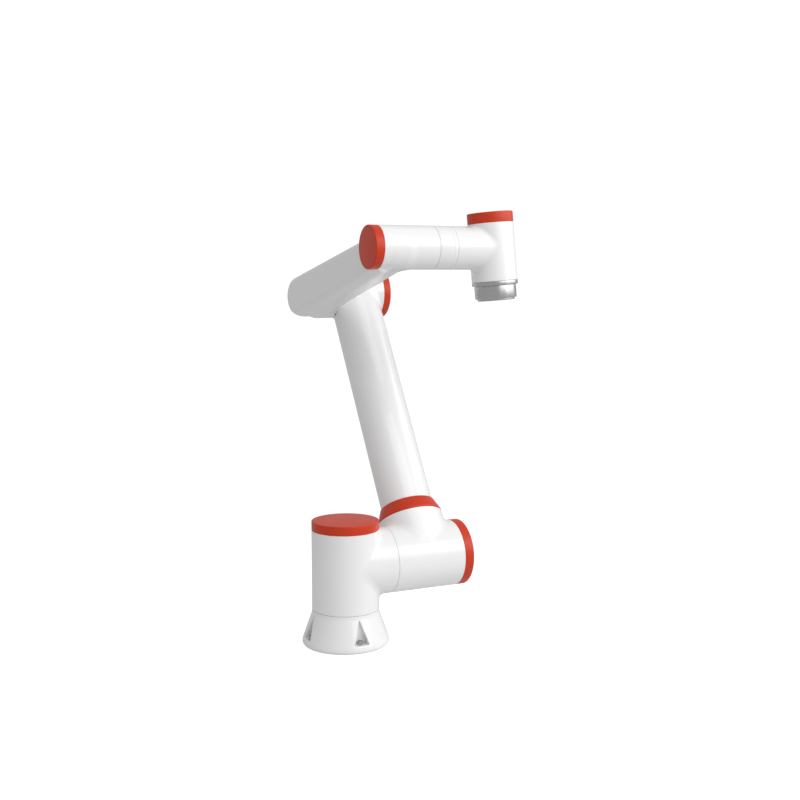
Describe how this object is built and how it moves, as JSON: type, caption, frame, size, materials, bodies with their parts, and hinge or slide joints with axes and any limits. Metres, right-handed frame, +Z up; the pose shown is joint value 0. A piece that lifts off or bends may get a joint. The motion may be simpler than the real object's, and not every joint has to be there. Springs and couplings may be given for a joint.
{
  "type": "desktop robot arm",
  "caption": "Articulated robot arm: flared round base, T-shaped joint housings with orange end caps, tubular lower arm, slab-sided forearm and a bare tool flange.",
  "frame": {"origin": "centre of the base's mounting face, on the base turn axis", "axes": "+Z up along the base turn axis; +X along the shoulder, elbow and wrist pitch axes, from the forearm's side to the lower arm's side; the forearm reaches towards -Y at rest"},
  "size_m": [0.3648, 0.4348, 0.7275],
  "materials": {
    "white_shell": "smooth satin-gloss white paint",
    "orange_shell": "moulded plastic, satin",
    "flange_metal": "turned, fine rings",
    "steel": "machined",
    "copper": "enamelled windings",
    "circuit_board": "coated board",
    "rubber": "matte"
  },
  "bodies": {
    "base": {"base_casting": "white_shell", "base_plate": "flange_metal", "base_cable_socket": "steel", "base_screw_1": "steel", "base_screw_2": "steel", "base_screw_3": "steel", "base_screw_4": "steel", "base_drive_output": "flange_metal"},
    "shoulder": {"shoulder_housing": "white_shell", "shoulder_top_cap": "orange_shell", "base_drive_seal": "rubber", "base_drive_wave_gear": "steel", "base_drive_stator": "copper", "base_drive_rotor": "steel", "base_drive_brake": "steel", "base_drive_board": "circuit_board", "shoulder_drive_output": "flange_metal"},
    "lower_arm": {"lower_arm_housing": "white_shell", "lower_arm_ring": "orange_shell", "lower_arm_tube": "white_shell", "lower_arm_harness": "rubber", "shoulder_side_cap": "orange_shell", "shoulder_drive_seal": "rubber", "shoulder_drive_wave_gear": "steel", "shoulder_drive_stator": "copper", "shoulder_drive_rotor": "steel", "shoulder_drive_brake": "steel", "shoulder_drive_board": "circuit_board", "elbow_cap": "orange_shell", "elbow_drive_seal": "rubber", "elbow_drive_wave_gear": "steel", "elbow_drive_stator": "copper", "elbow_drive_rotor": "steel", "elbow_drive_brake": "steel", "elbow_drive_board": "circuit_board"},
    "forearm": {"forearm_casting": "white_shell", "forearm_harness": "rubber", "forearm_cap": "orange_shell", "elbow_drive_output": "flange_metal", "wrist_drive_seal": "rubber", "wrist_drive_wave_gear": "steel", "wrist_drive_stator": "copper", "wrist_drive_rotor": "steel", "wrist_drive_brake": "steel", "wrist_drive_board": "circuit_board"},
    "wrist": {"wrist_housing": "white_shell", "wrist_cap": "orange_shell", "wrist_band": "flange_metal", "wrist_drive_output": "flange_metal", "flange_drive_wave_gear": "steel", "flange_drive_stator": "copper", "flange_drive_rotor": "steel", "flange_drive_brake": "steel", "flange_drive_board": "circuit_board"},
    "tool_flange": {"tool_flange": "flange_metal", "flange_drive_output": "flange_metal"}
  },
  "joints": [
    {"name": "base_turn", "type": "hinge", "parent": "base", "child": "shoulder", "pos_m": [0, 0, 0.06], "axis": [0, 0, 1], "range_deg": [-175, 175]},
    {"name": "shoulder_pitch", "type": "hinge", "parent": "shoulder", "child": "lower_arm", "pos_m": [0, 0, 0.135], "axis": [1, 0, 0], "range_deg": [-64, 130]},
    {"name": "elbow_pitch", "type": "hinge", "parent": "lower_arm", "child": "forearm", "pos_m": [0.093, 0.29193, 0.58453], "axis": [1, 0, 0], "range_deg": [-265, 45]},
    {"name": "wrist_pitch", "type": "hinge", "parent": "forearm", "child": "wrist", "pos_m": [0.132, -0.05495, 0.66461], "axis": [1, 0, 0], "range_deg": [-175, 175]},
    {"name": "flange_turn", "type": "hinge", "parent": "wrist", "child": "tool_flange", "pos_m": [0.25203, -0.05725, 0.60981], "axis": [-0.0732, 0.0418, 0.9964], "range_deg": [-175, 175]}
  ]
}
